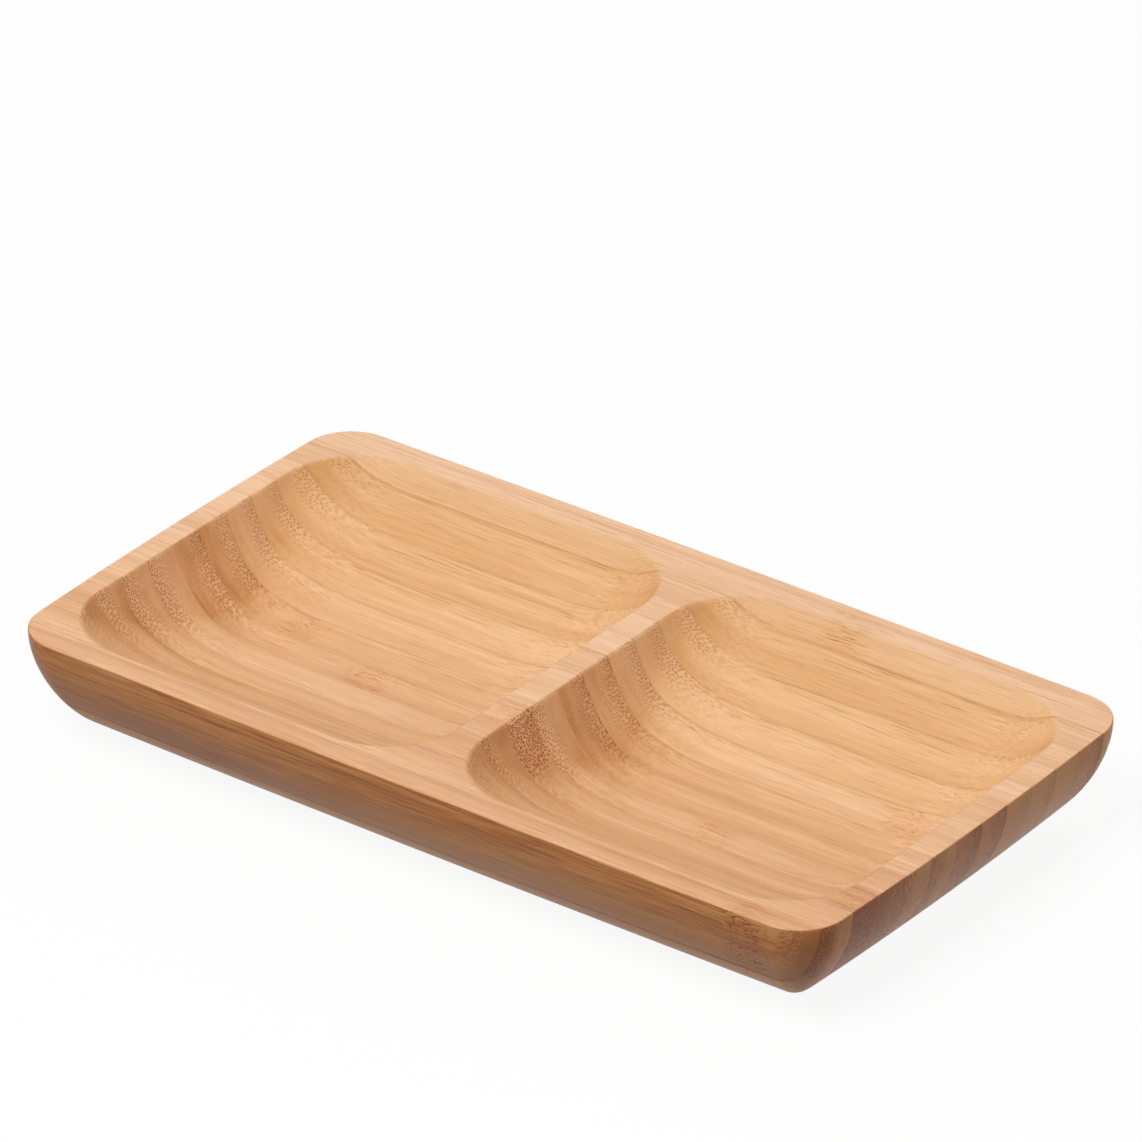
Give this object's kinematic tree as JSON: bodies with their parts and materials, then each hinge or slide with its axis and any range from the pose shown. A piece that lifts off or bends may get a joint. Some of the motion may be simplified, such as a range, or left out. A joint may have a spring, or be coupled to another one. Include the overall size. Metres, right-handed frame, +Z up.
{
  "type": "divided serving plate",
  "caption": "Rectangular laminated bamboo serving plate with dished pockets side by side, a flat rim and divider, and hull-shaped sides that run in to a flat base.",
  "frame": {"origin": "middle of the flat base, on the surface that the plate stands on", "axes": "+X along the strips and the plate's length, -Y to the front long side, +Z up out of the pockets"},
  "size_m": [0.2, 0.1102, 0.025],
  "materials": {
    "bamboo": "sanded and oiled bamboo, satin",
    "glue": "hardened clear brown wood glue, sanded flush"
  },
  "bodies": {
    "root": {"bamboo_strip_01": "bamboo", "bamboo_strip_02": "bamboo", "bamboo_strip_03": "bamboo", "bamboo_strip_04": "bamboo", "bamboo_strip_05": "bamboo", "bamboo_strip_06": "bamboo", "bamboo_strip_07": "bamboo", "bamboo_strip_08": "bamboo", "bamboo_strip_09": "bamboo", "bamboo_strip_10": "bamboo", "bamboo_strip_11": "bamboo", "bamboo_strip_12": "bamboo", "bamboo_strip_13": "bamboo", "bamboo_strip_14": "bamboo", "glue_line_01": "glue", "glue_line_02": "glue", "glue_line_03": "glue", "glue_line_04": "glue", "glue_line_05": "glue", "glue_line_06": "glue", "glue_line_07": "glue", "glue_line_08": "glue", "glue_line_09": "glue", "glue_line_10": "glue", "glue_line_11": "glue", "glue_line_12": "glue", "glue_line_13": "glue"}
  },
  "joints": []
}
